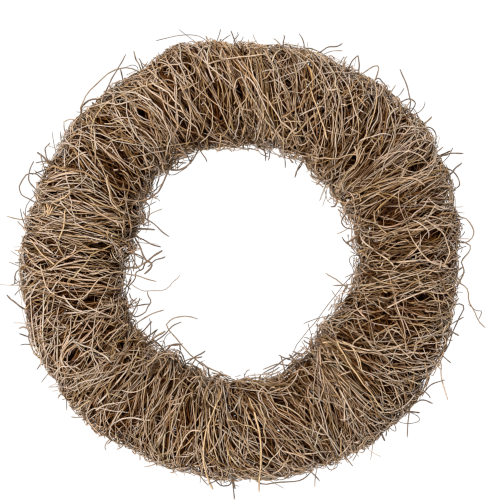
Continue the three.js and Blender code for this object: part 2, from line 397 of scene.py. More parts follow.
def root_piece(name, batches):
    """Makes one mesh of all the batches. Each batch is (lines, radii, bark, sides)."""
    points, faces, along_map, bake_map, bark_of = [], [], [], [], []
    lengths = [np.linalg.norm(np.diff(lines, axis=1), axis=2) for lines, _, _, _ in batches]
    root_lengths = np.concatenate([one.sum(axis=1) for one in lengths])
    starts, row_length, rows = strip_places(root_lengths, BAKE_ROWS)
    first_corner = first_root = 0
    for (lines, radii, bark_values, sides), steps in zip(batches, lengths):
        count, points_along = radii.shape
        lines[:, :, 2] = np.maximum(lines[:, :, 2], radii)
        corners = tube_corners(lines, radii, sides)
        points.append(corners.reshape(-1, 3))
        corner_bark = np.repeat(bark_values[:, :, None], sides, axis=2)
        # Painted shade on the sides of each root that face into the body or down.
        corner_bark[..., 1] += TURNED_IN_PAINTED_SHADE * (0.5 - 0.5 * facing_out(lines, corners))
        bark_of.append(corner_bark.reshape(-1, 3))
        distance = np.concatenate([np.zeros((count, 1)), np.cumsum(steps, axis=1)], axis=1)
        place = starts[first_root:first_root + count, :, None, None]
        root_corner = first_corner + np.arange(count)[:, None, None] * points_along * sides
        for corner_step, corner_side in tube_faces(points_along, sides):
            numbers = root_corner + corner_step * sides + corner_side % sides
            faces += numbers.reshape(-1, corner_step.shape[1]).tolist()
            run = distance[:, corner_step]
            girth = np.broadcast_to(corner_side / sides, run.shape)
            along_map.append(np.stack([run * MM, girth * GIRTH * MM], axis=-1).reshape(-1, 2))
            strip_u = place[:, 0] + run / row_length
            strip_v = (place[:, 1] + STRIP_START + STRIP_FILL * girth) / rows
            bake_map.append(np.stack([strip_u, strip_v], axis=-1).reshape(-1, 2))
        first_corner += count * points_along * sides
        first_root += count
    mesh = bpy.data.meshes.new(name)
    mesh.from_pydata(np.concatenate(points) * MM, [], faces)
    for label, places in (("along", along_map), ("OFBake", bake_map)):
        layer = mesh.uv_layers.new(name=label)
        layer.uv.foreach_set("vector", np.concatenate(places).astype(np.float32).ravel())
    own_bark = mesh.color_attributes.new("root", "FLOAT_COLOR", "POINT")
    values = np.concatenate(bark_of)
    values = np.concatenate([values, np.ones((len(values), 1))], axis=1)
    own_bark.data.foreach_set("color", values.astype(np.float32).ravel())
    mesh.polygons.foreach_set("use_smooth", np.ones(len(mesh.polygons), dtype=bool))
    mesh.materials.append(bark)
    mesh.update()
    piece = bpy.data.objects.new(name, mesh)
    bpy.context.scene.collection.objects.link(piece)
    return piece


TIP, SPRUNG_TIP = 0.55, 0.75
SWELLING, SWELL_RADIANS = 0.10, (10, 40)
BLUNT_END = 0.6
FINE_SIDES = 3


def tapered(random, thick, steps, tip=TIP):
    """Radii along each root, from its thick end to its tip, with the small swellings of a root."""
    count = len(thick)
    along_root = np.linspace(0, 1, steps)
    swells = along_root * random.uniform(*SWELL_RADIANS, (count, 1)) + random.uniform(0, 6, (count, 1))
    swelling = 1 + SWELLING * np.sin(swells)
    slim = 1 - (1 - tip) * along_root
    slim = np.where(random.random((count, 1)) < 0.5, slim, slim[::-1])
    radii = thick[:, None] / 2 * slim * swelling
    radii[:, [0, -1]] *= BLUNT_END
    return radii


def bark_for(random, tones, lift, degree, shift=0.0):
    """Tone, painted shade and seed at each point. Tones is a list of (share of roots, tone, spread).
    The bark is paler at both rims, and has painted light on the outer slope and painted shade on the hole
    slope."""
    count = len(lift)
    across = np.broadcast_to(np.cos(np.radians(degree)), lift.shape)
    # Paler at both rims, painted light on the outer slope and painted shade on the hole slope.
    paled_and_slope_lit = RIM_PALING * across**4 + SLOPE_PAINTED_LIGHT * across * (1 - across**2)
    shares, middles, spreads = np.array(tones).T
    pick = random.choice(len(tones), count, p=shares / shares.sum())
    tone = np.clip(middles[pick] + shift + spreads[pick] * random.normal(0, 1, count), 0, 1)
    # Painted shade: the deeper a point lies under the top of the body, the darker its bark.
    painted_shade_share = ((SKIN_LIFT - lift) / FULL_SHADE_DEPTH).clip(0, 1)
    seed = np.broadcast_to(random.random((count, 1)), lift.shape)
    return np.stack([tone[:, None] + paled_and_slope_lit, painted_shade_share, seed], axis=2)


# The heart of a turn. Round the hoop lies a tangle of roots that run any way, so
# the light that falls between the outer roots dies in it. Their dark tones are painted shade.

# Dark bark tones for the heart, as painted shade deep in the body.
HEART_SHADE_TONES = [(3, 0.12, 0.08), (1, 0.3, 0.1)]
HEART_STEPS = 7
HEART_LENGTHS = (40, 85)
HEART_SLANT, HEART_BEND, HEART_UNREST = 40, 30, 12
HEART_LIFTS, HEART_ROLL = (-20, -6.5), (50, 1.5)
HEART_THICKNESS = (1.9, 3.2)
EVEN_STEPS = np.array([0.7549, 0.5698])


def even_spots(random, count):
    """Spots spread evenly over a turn, each a share of the turn and a degree round it."""
    spots = (random.random(2) + np.arange(count)[:, None] * EVEN_STEPS) % 1
    return np.stack([spots[:, 0], even_degree(spots[:, 1])], axis=1)


def heart_roots(random, number, count):
    length = random.uniform(*HEART_LENGTHS, count)
    share, degree = wander(random, *even_spots(random, count).T, random.normal(0, HEART_SLANT, count),
                           random.normal(0, HEART_BEND, count), length, HEART_STEPS, HEART_UNREST)
    lift = random.uniform(*HEART_LIFTS, (count, 1)) + rolling(random, length, HEART_STEPS, *HEART_ROLL)
    radii = tapered(random, random.uniform(*HEART_THICKNESS, count), HEART_STEPS)
    tones = bark_for(random, HEART_SHADE_TONES, lift, degree)
    return on_body(number, share, degree, lift), radii, tones, FINE_SIDES


# The locks. Most roots run side by side in thin locks that wind round the hoop together, each
# lock on its own slant. The roots of a lock weave a little, above and below each other, and
# most of them come off one vine, so that they share its tint.

LOCK_TONES = [(3.5, 0.66, 0.12), (2.5, 0.48, 0.12), (3.2, 0.14, 0.08), (1.4, 0.9, 0.07)]
LOCK_REACHES, LOCK_WIDTHS = (45, 100), (9, 22)
LOCK_DEPTH, LOCK_CROWN, LOCK_ROLL = 2.8, 1.5, (28, 1.0)
LOCK_JITTER, LOCK_SHORTENING = 0.03, (0.45, 1.0)
LOCK_THINNEST, LOCK_SKEW = 0.5, 1.4
LOCK_FAN, LOCK_BEND, LOCK_UNREST = 8, 22, 9
STRAYING, TANGLED_STRAYING, STRAY_BEND = 10, 14, 12
TUCKED_SHARE, TUCKED_DIPS, LOOSE_RISE = 0.75, (1.5, 5), 1.5
LOCK_TONE_SPREAD, TANGLED_DARKENING = 0.045, 0.1
OF_ONE_VINE, VINE_SPREAD = 0.6, 0.02


def lock_roots(random, number, spot, count, steps, level, slant_spread, tangle, paler):
    """Spot is where the middle of the lock lies: a share of the turn and a degree round it."""
    tangle = tangle * abs(math.sin(math.radians(spot[1])))
    slant = random.normal(0, slant_spread * (1 + tangle))
    reach = random.uniform(*LOCK_REACHES)
    width = random.uniform(*LOCK_WIDTHS)
    fan = random.normal(0, LOCK_FAN)
    across = np.linspace(-0.5, 0.5, count) + random.normal(0, LOCK_JITTER, count)
    length = reach * random.uniform(*LOCK_SHORTENING, count)
    onward = (reach - length) * random.uniform(-0.5, 0.5, count)
    heading = slant + 2 * fan * across + random.normal(0, STRAYING + TANGLED_STRAYING * tangle, count)
    bend = random.normal(0, LOCK_BEND) + random.normal(0, STRAY_BEND, count)
    middle = spot[0] + (across * width + onward * math.sin(math.radians(slant))) / TURN_WIDTH
    share, degree = wander(random, middle, spot[1] + onward / HALF_GIRTH * 180, heading, bend, length,
                           steps, LOCK_UNREST)
    along_root = np.linspace(0, 1, steps)
    crown = LOCK_CROWN * (0.5 - 2 * across[:, None] ** 2)
    lift = level + crown - random.uniform(0, LOCK_DEPTH, (count, 1))
    lift = lift + rolling(random, length, steps, *LOCK_ROLL)
    tucked = random.random((count, 2)) < TUCKED_SHARE
    dip = random.uniform(*TUCKED_DIPS, (count, 2))
    dip = np.where(tucked, dip, -random.uniform(0, LOOSE_RISE, (count, 2)))
    lift = lift - dip[:, :1] * (1 - along_root) ** 5 - dip[:, 1:] * along_root**5
    radii = tapered(random, LOCK_THINNEST + random.random(count) ** LOCK_SKEW, steps)
    shift = random.normal(0, LOCK_TONE_SPREAD) + paler - TANGLED_DARKENING * tangle
    tones = bark_for(random, LOCK_TONES, lift, degree, shift)
    vine = (random.random() + VINE_SPREAD * random.random(count)) % 1
    tones[..., 2] = np.where(random.random(count) < OF_ONE_VINE, vine, tones[:, 0, 2])[:, None]
    return on_body(number, share, degree, lift), radii, tones, FINE_SIDES


# Roots that cross. Single roots lie slantwise on top, holding the locks down. They are the
# last to go on, kinked and springy, and the palest of them are young.

CROSSING_TONES = [(3, 0.62, 0.1), (3, 0.80, 0.08), (1.5, 0.97, 0.05), (1.5, 0.35, 0.1)]
CROSSING_STEPS, CROSSING_SIDES = 13, 4
CROSSING_SHORTEST, CROSSING_RANGE, CROSSING_SKEW = 14, 52, 1.7
CROSSING_SLANTS, CROSSING_BEND, CROSSING_UNREST = (8, 62), 45, 11
CROSSING_LIFTS, CROSSING_ROLL = (-1.2, 1.6), (40, 0.4)
CROSSING_THICKNESS = (0.7, 1.25)
OUTER_TUCK, HOLE_TUCK = 0.8, 2.5


def crossing_roots(random, number, count):
    length = CROSSING_SHORTEST + CROSSING_RANGE * random.random(count) ** CROSSING_SKEW
    side = random.choice([-1, 1], count)
    share, degree = wander(random, random.random(count), even_degree(random.random(count)),
                           side * random.uniform(*CROSSING_SLANTS, count),
                           random.normal(0, CROSSING_BEND, count), length, CROSSING_STEPS,
                           CROSSING_UNREST)
    along_root = np.linspace(-1, 1, CROSSING_STEPS)
    lift = random.uniform(*CROSSING_LIFTS, (count, 1))
    lift = lift + rolling(random, length, CROSSING_STEPS, *CROSSING_ROLL)
    lift = lift - np.abs(along_root) ** 5 * random.uniform(-1, 4, (count, 1))
    across_rim = np.cos(np.radians(degree))
    lift = lift - np.where(across_rim > 0, OUTER_TUCK, HOLE_TUCK) * across_rim**6
    radii = tapered(random, random.uniform(*CROSSING_THICKNESS, count), CROSSING_STEPS)
    tones = bark_for(random, CROSSING_TONES, lift, degree)
    return on_body(number, share, degree, lift), radii, tones, CROSSING_SIDES


# Rootlets. Thin side roots, hair fine and curly, are caught between the others and fill the
# gaps with a rusty fuzz.

ROOTLET_TONES = [(3, 0.6, 0.12), (2, 0.35, 0.1), (2, 0.85, 0.1)]
ROOTLET_STEPS = 9
ROOTLET_SHORTEST, ROOTLET_RANGE, ROOTLET_SKEW = 7, 24, 1.5
ROOTLET_BEND, ROOTLET_UNREST, RIM_COMBING = 110, 25, 0.55
ROOTLET_THICKNESS, RIM_THICKENING = (0.42, 0.8), 1.25
ROOTLET_LIFTS, ROOTLET_ROLL, HOLE_FLUFF = (-4.0, 1.5), (15, 0.7), 5.5
ROOTLETS_AT_HOLE, ROOTLETS_BEFORE_RIM = 0.2, 0.76
ROOTLET_TUFTS, TUFT_SPREAD = 3, 0.07
HOLE_DEGREES, RIM_DEGREES = (172, 22), (8, 22)
RUSTY, RUSTY_SPAN = 0.7, 0.15


def rootlets(random, number, count):
    length = ROOTLET_SHORTEST + ROOTLET_RANGE * random.random(count) ** ROOTLET_SKEW
    place = random.random(count)
    at_hole, at_rim = place < ROOTLETS_AT_HOLE, place > ROOTLETS_BEFORE_RIM
    rim = at_hole | at_rim
    middle = np.where(at_hole, random.normal(*HOLE_DEGREES, count), even_degree(random.random(count)))
    middle = np.where(at_rim, random.normal(*RIM_DEGREES, count), middle)
    tuft = random.random(ROOTLET_TUFTS)[random.integers(0, ROOTLET_TUFTS, count)]
    share = np.where(at_hole, tuft + random.normal(0, TUFT_SPREAD, count), random.random(count))
    heading = random.uniform(-90, 90, count) * np.where(rim, RIM_COMBING, 1)
    share, degree = wander(random, share, middle, heading, random.normal(0, ROOTLET_BEND, count),
                           length, ROOTLET_STEPS, ROOTLET_UNREST)
    lift = random.uniform(*ROOTLET_LIFTS, (count, 1))
    lift = lift + rolling(random, length, ROOTLET_STEPS, *ROOTLET_ROLL)
    lift = lift + np.where(at_hole, random.uniform(0, HOLE_FLUFF, count), at_rim)[:, None]
    thick = random.uniform(*ROOTLET_THICKNESS, count) * np.where(rim, RIM_THICKENING, 1)
    radii = tapered(random, thick, ROOTLET_STEPS)
    tones = bark_for(random, ROOTLET_TONES, lift, degree)
    tones[rim, :, 2] = RUSTY + RUSTY_SPAN * tones[rim, :, 2]
    return on_body(number, share, degree, lift), radii, tones, FINE_SIDES


# Free ends. Broken and springy root ends stand out of the body all round, thickest at the
# rims. They leave it along the winding and curl away. Most are no longer than a finger nail.

END_TONES = [(4, 0.6, 0.1), (2, 0.8, 0.1), (1, 0.4, 0.1)]
END_STEPS = 7
ENDS_AT_HOLE, ENDS_BELOW_TOP = 0.18, 0.5
HOLE_END_DEGREES, TOP_END_DEGREES, RIM_END_SPREAD = (135, 235), (30, 150), 28
END_SHORTEST, HOLE_END_RANGE, RIM_END_RANGE, END_SKEW = 4.5, 17, 14, 2.2
END_STEEPNESS = (0.15, 1.1)
END_LIFT = -2.0
END_THINNEST, END_THICKER, THICKNESS_SKEW = 0.5, 0.75, 1.3
END_CURL = 1.3
SHORT_END = 7
WEATHERED = 0.07


def free_ends(random, number, count):
    place = random.random(count)
    at_hole, on_top = place < ENDS_AT_HOLE, place > ENDS_BELOW_TOP
    degree = np.where(at_hole, random.uniform(*HOLE_END_DEGREES, count),
                      random.normal(0, RIM_END_SPREAD, count))
    degree = np.where(on_top, random.uniform(*TOP_END_DEGREES, count), degree)
    share = random.random(count)
    root = on_body(number, share, degree, END_LIFT)
    outward = on_body(number, share, degree, 8.0) - root
    outward /= np.linalg.norm(outward, axis=1, keepdims=True)
    onward = on_body(number, share, degree + 10, END_LIFT) - root
    onward /= np.linalg.norm(onward, axis=1, keepdims=True)
    aside = np.cross(outward, onward)
    way = random.uniform(0, math.tau, (count, 1))
    steepness = random.uniform(*END_STEEPNESS, (count, 1))
    along_body = onward * np.cos(way) + aside * np.sin(way)
    heading = outward * np.sin(steepness) + along_body * np.cos(steepness)
    bending = np.cross(heading, random.normal(0, 1, (count, 3)))
    bending /= np.linalg.norm(bending, axis=1, keepdims=True)
    longest = np.where(at_hole, HOLE_END_RANGE, RIM_END_RANGE)[:, None]
    length = END_SHORTEST + longest * random.random((count, 1)) ** END_SKEW
    curl = random.normal(0, END_CURL, (count, 1))
    turned = (curl * np.linspace(0, 1, END_STEPS))[:, :, None]
    path = heading[:, None] * np.cos(turned) + bending[:, None] * np.sin(turned)
    lines = root[:, None] + np.cumsum(path, axis=1) * length[:, None] / END_STEPS
    thick = END_THINNEST + END_THICKER * random.random(count) ** THICKNESS_SKEW
    radii = tapered(random, thick, END_STEPS, SPRUNG_TIP)
    tones = bark_for(random, END_TONES, np.full((count, END_STEPS), 2.0), degree[:, None])
    standing = (length * np.sin(steepness))[:, 0]
    tones[..., 2] *= np.where(on_top | (standing < SHORT_END), 1, WEATHERED)[:, None]
    return lines, radii, tones, FINE_SIDES


# The turns. Each is wound from its heart outwards, and stands for its solid in the frame. On
# one side of the ring the winding was hurried, and the locks there lie tangled. A few turns
# are of a paler or a darker vine, and in a few places the locks part and show the heart.

HEART_COUNT = 100
# Each coat has its number of locks, the roots in a lock, the points along a root, how high it
# lies and how far its locks slant.
COATS = [(18, 9, 10, -4.2, 18), (20, 10, 13, 0.3, 9)]
CROSSING_COUNT = 37
ROOTLET_COUNT = 110
FREE_END_COUNT = 68
TOP_BEARING = -360 / TURNS * (0.5 + (90 - SEAM) / 360)
TANGLED_BEARING = -10
TANGLED_SPAN = 30
FIRST_START = 7000
# Turns whose bunches fell out wrong were wound again, from another random start.
WOUND_AGAIN = {0: 7200, 10: 7110, 11: 7411, 13: 7213, 17: 7117, 18: 7118, 19: 7219}
PALER_VINES = {0: -0.05, 1: 0.09, 3: 0.09, 17: -0.14, 18: -0.03, 19: 0.18}
# Where the locks part, as seen from above.
PARTINGS = [(-52, 128), (-66, 97), (-2, 112), (65, 116), (127, 17), (95, -22), (118, -24), (-132, -3),
            (-113, -62), (-81, -57), (-56, -104), (25, -94), (113, 61), (72, 66), (-80, 105), (30, 118)]
PARTING = 2.4
PARTING_REACH = 4.2
PARTING_LENGTH = 1.5


def parted(lines, radii, tones, sides):
    """A batch whose lines pass the partings on one side or the other."""
    for place in PARTINGS:
        outward = np.array(place) / np.hypot(*place)
        beside = np.array([-outward[1], outward[0]])
        away = lines[:, :, :2] - place
        aside, onward = away @ beside, away @ outward / PARTING_LENGTH
        near = np.exp(-(aside**2 + onward**2) / PARTING_REACH**2) * (lines[:, :, 2] > HOOP_HEIGHT)
        side = np.where(np.sum(aside * near, axis=1, keepdims=True) < 0, -1, 1)
        lines[:, :, :2] += (PARTING * side * near)[:, :, None] * beside
    return lines, radii, tones, sides


for number in range(TURNS):
    random = np.random.default_rng(WOUND_AGAIN.get(number, FIRST_START + number))
    past_tangle = (TOP_BEARING - 360 / TURNS * number - TANGLED_BEARING + 180) % 360 - 180
    tangle = math.exp(-(past_tangle / TANGLED_SPAN) ** 2)
    paler = PALER_VINES.get(number, 0)
    batches = [heart_roots(random, number, HEART_COUNT)]
    for locks, roots, steps, level, slant in COATS:
        for spot in even_spots(random, locks):
            lock = lock_roots(random, number, spot, roots, steps, level, slant, tangle, paler)
            batches.append(parted(*lock))
    batches.append(parted(*crossing_roots(random, number, CROSSING_COUNT)))
    batches.append(parted(*rootlets(random, number, ROOTLET_COUNT)))
    batches.append(free_ends(random, number, FREE_END_COUNT))
    turn = root_piece(f"wound_roots_{number + 1:02d}", batches)
    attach(turn, "root")
    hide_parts(f"root_turn_{number + 1:02d}")


# Sprung roots. Single roots have sprung out of the winding. Some stand off the two rims in
# loops, hooks and prongs, and others lie loose on top. Each is laid through a few given
# points seen from above. A root has a thickness, a bark, and a height where it stands free.

HAIR, THIN, STOUT = 0.6, 1.0, 1.4
DARK, BROWN, TAN = (0.6, 0.01), (0.9, 0.02), (0.55, 0.03)
PALE, RUST, GOLD = (0.64, 0.3), (0.5, 0.85), (0.72, 0.97)
SPRUNG_STEPS, SPRUNG_SIDES = 16, 5
SPRUNG_WAVE, SPRUNG_WAVINESS = 12, (0.3, 0.3, 0.9)
LAID_LIFT = 1.6

OUTER_SPRINGS = [
    (THIN, DARK, 36, [(-130, 50), (-137, 57), (-143, 59), (-149, 53), (-150, 47), (-145, 42),
                      (-136, 38)]),
    (HAIR, BROWN, 34, [(-138, 46), (-145, 38), (-146, 28), (-140, 18)]),
    (THIN, BROWN, 38, [(-136, 45), (-143, 53), (-143, 61), (-140, 67)]),
    (STOUT, DARK, 40, [(-122, 60), (-130, 66), (-134, 70), (-138, 73)]),
    (THIN, DARK, 42, [(-124, 62), (-131, 69), (-132, 75), (-129, 79)]),
    (THIN, DARK, 36, [(-120, 63), (-130, 67), (-139, 66)]),
    (THIN, BROWN, 32, [(-138, 0), (-147, -4), (-153, -9), (-154, -16)]),
    (THIN, BROWN, 30, [(-140, -6), (-148, -2), (-154, -1)]),
    (STOUT, DARK, 34, [(-132, -40), (-142, -35), (-152, -29), (-159, -23)]),
    (THIN, TAN, 30, [(-132, -56), (-140, -51), (-145, -46), (-151, -45)]),
    (THIN, BROWN, 34, [(-134, -52), (-142, -52), (-150, -49)]),
    (THIN, TAN, 32, [(-138, -40), (-144, -50), (-142, -59), (-134, -69), (-124, -76)]),
    (THIN, TAN, 36, [(-104, 92), (-109, 103), (-102, 115), (-90, 126), (-78, 130), (-66, 125)]),
    (THIN, DARK, 42, [(-94, 106), (-90, 117), (-84, 128), (-78, 138)]),
    (STOUT, DARK, 34, [(-103, 90), (-109, 100), (-105, 107), (-96, 109), (-88, 106)]),
    (THIN, TAN, 38, [(-64, 118), (-68, 128), (-71, 134), (-73, 140)]),
    (THIN, BROWN, 36, [(-68, 120), (-67, 130), (-70, 136)]),
    (HAIR, BROWN, 44, [(-16, 138), (-24, 147), (-33, 151), (-46, 150), (-58, 147)]),
    (THIN, BROWN, 40, [(-4, 140), (-5, 147), (-8, 154)]),
    (HAIR, DARK, 36, [(-5, 141), (-5, 148), (-3, 154)]),
    (THIN, TAN, 34, [(-18, 138), (-21, 146), (-25, 151)]),
    (THIN, BROWN, 40, [(29, 136), (28, 144), (27, 152)]),
    (THIN, BROWN, 38, [(40, 136), (50, 140), (58, 143), (67, 146)]),
    (HAIR, TAN, 36, [(42, 135), (52, 138), (60, 141), (67, 141)]),
    (THIN, DARK, 38, [(63, 122), (71, 130), (77, 138), (78, 128), (76, 120)]),
    (THIN, TAN, 40, [(74, 122), (81, 126), (87, 130), (91, 130), (89, 122), (84, 115)]),
    (THIN, BROWN, 34, [(82, 114), (88, 121), (93, 122), (96, 117), (94, 109)]),
    (THIN, BROWN, 44, [(109, 92), (112, 104), (110, 116), (105, 128)]),
    (THIN, DARK, 34, [(105, 106), (112, 109), (116, 106), (113, 100)]),
    (HAIR, BROWN, 38, [(108, 101), (114, 102), (118, 97), (117, 90)]),
    (STOUT, TAN, 36, [(113, 86), (120, 91), (127, 97)]),
    (THIN, BROWN, 32, [(117, 88), (125, 90), (130, 86), (130, 78)]),
    (THIN, DARK, 40, [(124, 64), (131, 69), (139, 72), (148, 72)]),
    (HAIR, DARK, 38, [(132, 64), (138, 70), (141, 76)]),
    (STOUT, BROWN, 36, [(129, 50), (137, 56), (142, 61), (147, 66)]),
    (THIN, DARK, 34, [(130, 58), (138, 62), (144, 57), (146, 51), (140, 47)]),
    (THIN, TAN, 36, [(132, 34), (142, 31), (150, 28), (155, 22), (154, 15), (147, 12), (138, 13)]),
    (HAIR, BROWN, 34, [(135, 27), (145, 26), (149, 24)]),
    (THIN, TAN, 34, [(138, 14), (148, 13), (153, 10), (151, 4), (147, -1), (149, -8), (144, -18)]),
    (THIN, TAN, 42, [(132, -10), (143, -13), (150, -19), (152, -28), (157, -38), (162, -45)]),
    (HAIR, BROWN, 41, [(151, -29), (156, -33), (160, -34), (158, -39)]),
    (THIN, BROWN, 34, [(133, -40), (142, -30), (148, -30), (147, -37), (142, -45), (140, -54),
                       (134, -63)]),
    (STOUT, BROWN, 38, [(130, -42), (137, -46), (145, -50)]),
    (THIN, PALE, 34, [(126, -60), (133, -68), (134, -80), (138, -93)]),
    (THIN, DARK, 36, [(114, -94), (121, -89), (127, -83), (136, -80)]),
    (THIN, BROWN, 32, [(106, -103), (114, -97), (120, -94), (128, -96)]),
    (THIN, DARK, 42, [(110, -84), (112, -94), (111, -105), (110, -118)]),
    (STOUT, DARK, 38, [(102, -100), (111, -101), (119, -102)]),
    (HAIR, BROWN, 34, [(98, -104), (107, -109), (116, -109), (119, -106), (113, -102), (106, -103)]),
    (STOUT, BROWN, 34, [(87, -105), (91, -112), (96, -121)]),
    (HAIR, BROWN, 32, [(94, -106), (99, -112), (103, -115), (102, -109)]),
    (THIN, TAN, 34, [(66, -126), (70, -133), (74, -138)]),
    (HAIR, BROWN, 30, [(52, -132), (58, -140), (63, -140), (64, -133)]),
    (THIN, TAN, 34, [(4, -141), (12, -150), (25, -149), (38, -148), (45, -143), (50, -134)]),
    (HAIR, TAN, 36, [(16, -138), (22, -146), (30, -146), (34, -138)]),
    (THIN, BROWN, 32, [(-26, -138), (-19, -148), (-12, -152), (-8, -149), (-7, -140)]),
    (STOUT, DARK, 34, [(-9, -136), (-7, -145), (-5, -154)]),
]

HOLE_SPRINGS = [
    (STOUT, DARK, 40, [(-42, 72), (-49, 62), (-54, 51), (-59, 44), (-64, 42), (-70, 45)]),
    (HAIR, BROWN, 36, [(-46, 70), (-51, 58), (-57, 49), (-66, 42)]),
    (THIN, DARK, 34, [(-56, 66), (-57, 55), (-58, 49), (-63, 46), (-72, 49)]),
    (STOUT, DARK, 38, [(-56, 66), (-47, 61), (-40, 62), (-35, 66), (-31, 72), (-28, 78)]),
    (THIN, DARK, 36, [(-56, 68), (-47, 66), (-38, 66)]),
    (THIN, BROWN, 35, [(-39, 78), (-37, 71), (-35, 65)]),
    (HAIR, BROWN, 34, [(-58, 62), (-48, 58), (-39, 62), (-33, 71)]),
    (THIN, DARK, 42, [(-31, 83), (-28, 74), (-24, 66)]),
    (STOUT, DARK, 38, [(-84, 20), (-75, 21), (-59, 21)]),
    (THIN, DARK, 34, [(-82, 16), (-73, 17), (-65, 13), (-55, 9)]),
    (THIN, DARK, 40, [(-78, 21), (-72, 18), (-68, 14)]),
    (THIN, BROWN, 40, [(-76, 34), (-67, 30), (-59, 24), (-49, 16)]),
    (HAIR, TAN, 36, [(-74, 22), (-66, 27), (-61, 32), (-54, 35)]),
    (THIN, DARK, 44, [(-80, 47), (-70, 43), (-63, 37), (-62, 33), (-64, 27)]),
    (HAIR, TAN, 38, [(-78, 38), (-68, 38), (-60, 44), (-56, 40)]),
    (STOUT, DARK, 38, [(-77, 22), (-70, 12), (-67, 4), (-64, 0), (-61, -3), (-66, -9)]),
    (THIN, DARK, 32, [(-84, 8), (-77, 6), (-69, 3), (-67, 1), (-68, -2), (-73, -5), (-82, -4)]),
    (THIN, DARK, 44, [(-76, 15), (-73, 8), (-72, 1), (-73, -7)]),
    (STOUT, TAN, 36, [(-84, -6), (-77, -5), (-71, -4), (-64, 0)]),
    (STOUT, DARK, 30, [(-90, -4), (-81, -1), (-76, 2)]),
    (HAIR, BROWN, 40, [(-84, -7), (-79, -3), (-75, 1), (-73, -5)]),
    (STOUT, DARK, 38, [(-66, -2), (-60, 3), (-54, 7)]),
    (THIN, BROWN, 36, [(-64, -4), (-59, 0), (-52, 3)]),
    (THIN, DARK, 34, [(-64, -1), (-70, -7), (-75, -15), (-80, -26)]),
    (THIN, TAN, 40, [(-86, -6), (-76, -9), (-67, -11), (-58, -14)]),
    (HAIR, TAN, 36, [(-84, -10), (-75, -16), (-66, -20), (-55, -20), (-47, -15), (-42, -9)]),
    (THIN, DARK, 38, [(-64, -21), (-62, -27), (-65, -34), (-72, -37), (-80, -33)]),
    (THIN, DARK, 34, [(-84, -36), (-75, -31), (-63, -29)]),
    (THIN, DARK, 42, [(-76, -40), (-72, -32), (-69, -25)]),
    (THIN, DARK, 36, [(-84, -34), (-77, -30), (-71, -25)]),
    (HAIR, BROWN, 40, [(-72, -26), (-71, -33), (-76, -40), (-84, -42)]),
    (THIN, TAN, 36, [(-80, -50), (-72, -43), (-64, -37), (-53, -33)]),
    (THIN, DARK, 34, [(-73, -52), (-67, -47), (-61, -41)]),
    (STOUT, DARK, 36, [(-72, -57), (-65, -52), (-58, -46)]),
    (THIN, TAN, 38, [(-30, -39), (-39, -37), (-47, -39), (-51, -44), (-42, -55), (-32, -66),
                     (-22, -72), (-12, -77)]),
    (STOUT, DARK, 40, [(-56, -66), (-50, -58), (-46, -56), (-43, -56), (-41, -60)]),
    (STOUT, DARK, 34, [(-68, -60), (-61, -54), (-58, -55), (-53, -60), (-49, -68)]),
    (THIN, DARK, 38, [(-48, -66), (-45, -61), (-42, -61), (-40, -64), (-38, -70)]),
    (STOUT, DARK, 30, [(-56, -66), (-46, -64), (-42, -65), (-39, -71)]),
    (THIN, DARK, 36, [(-40, -70), (-32, -65), (-25, -60)]),
    (THIN, DARK, 42, [(-40, -68), (-33, -65), (-27, -64)]),
    (STOUT, DARK, 34, [(-28, -68), (-24, -72), (-23, -76), (-20, -82)]),
    (THIN, DARK, 36, [(-26, -84), (-20, -79), (-13, -77), (-6, -80)]),
    (HAIR, DARK, 36, [(-56, -54), (-53, -54), (-52, -60)]),
    (HAIR, BROWN, 42, [(-48, -47), (-52, -52), (-55, -60)]),
    (THIN, BROWN, 36, [(-41, -41), (-46, -43), (-51, -48), (-60, -55), (-69, -62)]),
    (THIN, TAN, 34, [(-66, -66), (-57, -61), (-49, -57), (-40, -56)]),
    (STOUT, TAN, 36, [(-67, -57), (-60, -52), (-52, -47)]),
    (HAIR, TAN, 42, [(8, 82), (18, 75), (27, 69), (39, 68), (49, 60), (58, 52)]),
    (THIN, DARK, 38, [(46, 74), (40, 67), (37, 62), (35, 56)]),
    (THIN, DARK, 34, [(48, 68), (46, 60), (48, 56), (54, 56)]),
    (THIN, BROWN, 42, [(58, 60), (53, 54), (49, 51)]),
    (HAIR, TAN, 34, [(66, 56), (58, 51), (56, 44), (54, 37)]),
    (STOUT, DARK, 40, [(60, 58), (60, 48), (63, 41), (62, 37), (59, 36)]),
    (THIN, DARK, 38, [(74, 36), (67, 29), (68, 23), (76, 21), (84, 23)]),
    (STOUT, DARK, 36, [(84, 19), (77, 16), (69, 12)]),
    (HAIR, DARK, 36, [(90, 6), (83, -1), (73, -10), (60, -26), (48, -42), (38, -54), (31, -67)]),
    (THIN, TAN, 38, [(84, -26), (75, -21), (66, -15), (56, -8)]),
    (HAIR, BROWN, 34, [(82, 4), (72, 2), (74, -5), (78, -14), (86, -20)]),
    (HAIR, BROWN, 38, [(72, -36), (58, -37), (49, -39), (41, -42)]),
    (THIN, DARK, 36, [(52, -62), (45, -56), (41, -53)]),
    (THIN, DARK, 40, [(52, -64), (46, -62), (42, -61), (38, -63), (34, -61)]),
    (STOUT, DARK, 38, [(44, -75), (38, -70), (31, -63)]),
    (THIN, BROWN, 34, [(50, -62), (40, -62), (34, -64), (26, -68), (14, -76)]),
    (THIN, TAN, 30, [(36, -72), (28, -70), (23, -70), (14, -73)]),
    (THIN, DARK, 36, [(58, -36), (53, -44), (50, -52)]),
    (HAIR, BROWN, 34, [(44, -42), (46, -50), (46, -60), (50, -72)]),
    (THIN, TAN, 36, [(28, -74), (27, -68), (25, -63)]),
]

